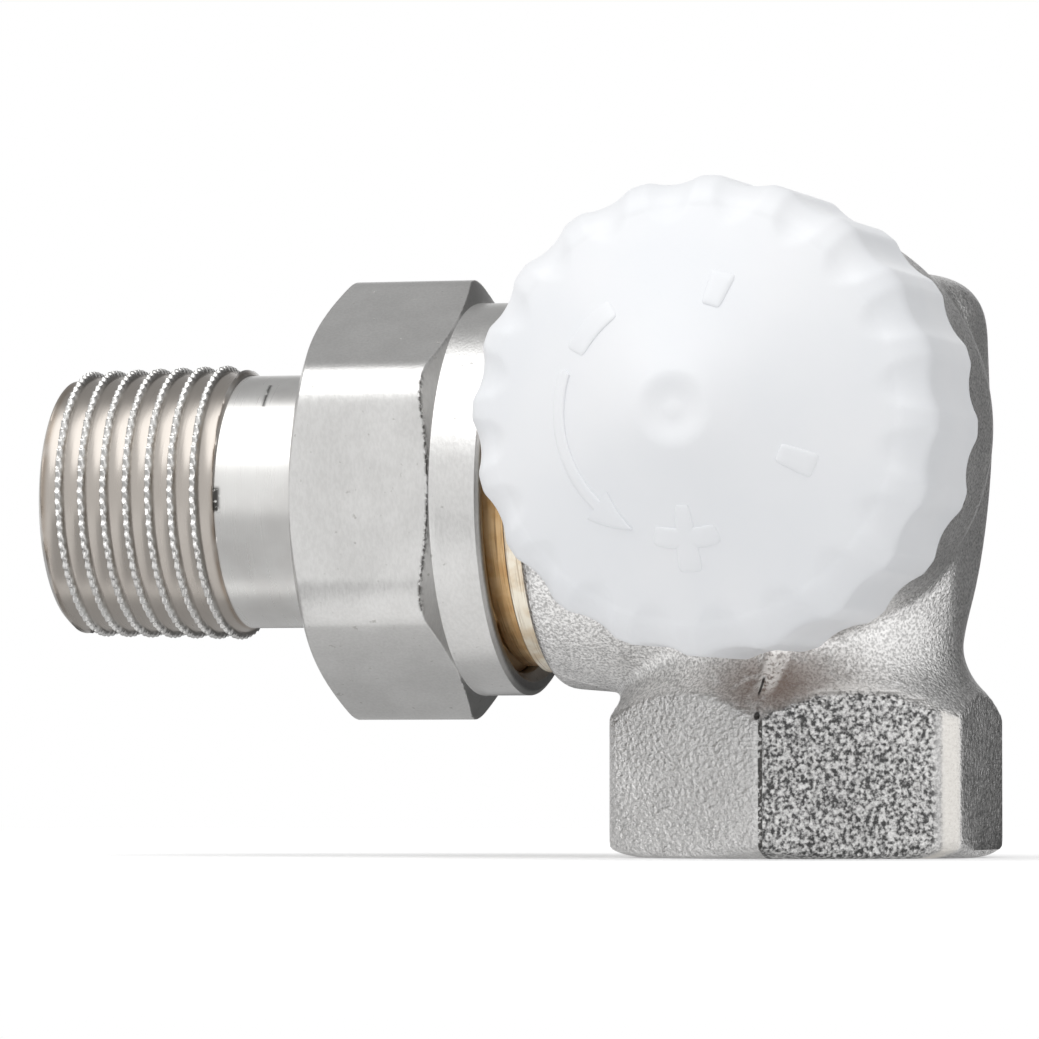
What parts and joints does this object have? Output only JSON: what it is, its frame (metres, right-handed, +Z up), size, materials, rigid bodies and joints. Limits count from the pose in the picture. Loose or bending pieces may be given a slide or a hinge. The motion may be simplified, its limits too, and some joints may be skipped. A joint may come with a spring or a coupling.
{
  "type": "radiator valve body",
  "caption": "Corner radiator valve with a hexagon pipe socket below, a union nut with a threaded tailpiece to the side and a white fluted hand cap in front.",
  "frame": {"origin": "centre of the pipe socket's mouth", "axes": "+Z up the pipe axis, the tail points along -X, the spindle and its cap point along -Y"},
  "size_m": [0.0752, 0.0547, 0.049],
  "materials": {
    "nickel_cast": "nickel plated casting, finely blasted",
    "nickel_satin": "nickel plated, satin",
    "nickel_turned": "nickel plated, turned",
    "white_plastic": "satin moulded",
    "brass_turned": "turned, bare",
    "steel": "ground",
    "seal_rubber": "moulded, black"
  },
  "bodies": {
    "valve": {"valve_body": "nickel_cast", "bonnet": "brass_turned", "bonnet_o_ring": "seal_rubber", "gland_nut": "brass_turned", "gland_outer_o_ring": "seal_rubber", "gland_inner_o_ring": "seal_rubber", "lower_o_ring": "seal_rubber", "seal_backing_washer": "brass_turned", "return_spring": "steel"},
    "spindle": {"spindle": "steel", "pressure_pin": "steel", "spring_cup": "brass_turned", "spring_retaining_ring": "steel", "disc_holder": "brass_turned", "valve_disc": "seal_rubber", "disc_washer": "brass_turned", "disc_nut": "brass_turned"},
    "cap": {"protective_cap": "white_plastic"},
    "tailpiece": {"tailpiece": "nickel_turned"},
    "union_nut": {"union_nut": "nickel_satin"}
  },
  "joints": [
    {"name": "spindle_slide", "type": "slide", "parent": "valve", "child": "spindle", "axis": [0, 1, 0], "range_m": [-0.0018, 0.0012], "deforming": ["return_spring"]},
    {"name": "cap_turn", "type": "hinge", "parent": "spindle", "child": "cap", "pos_m": [0, -0.03, 0.0318], "axis": [0, 1, 0], "range_deg": [-432, 288]},
    {"name": "tail_slide", "type": "slide", "parent": "valve", "child": "tailpiece", "axis": [-1, 0, 0], "range_m": [0, 0.00726]},
    {"name": "nut_turn", "type": "hinge", "parent": "tailpiece", "child": "union_nut", "pos_m": [-0.03, 0, 0.0272], "axis": [-1, 0, 0], "range_deg": [0, 1440]}
  ],
  "couplings": [
    {"joint": "spindle_slide", "follows": "cap_turn", "m_per_rad": 0.00023873},
    {"joint": "tail_slide", "follows": "nut_turn", "m_per_rad": 0.00028871}
  ]
}
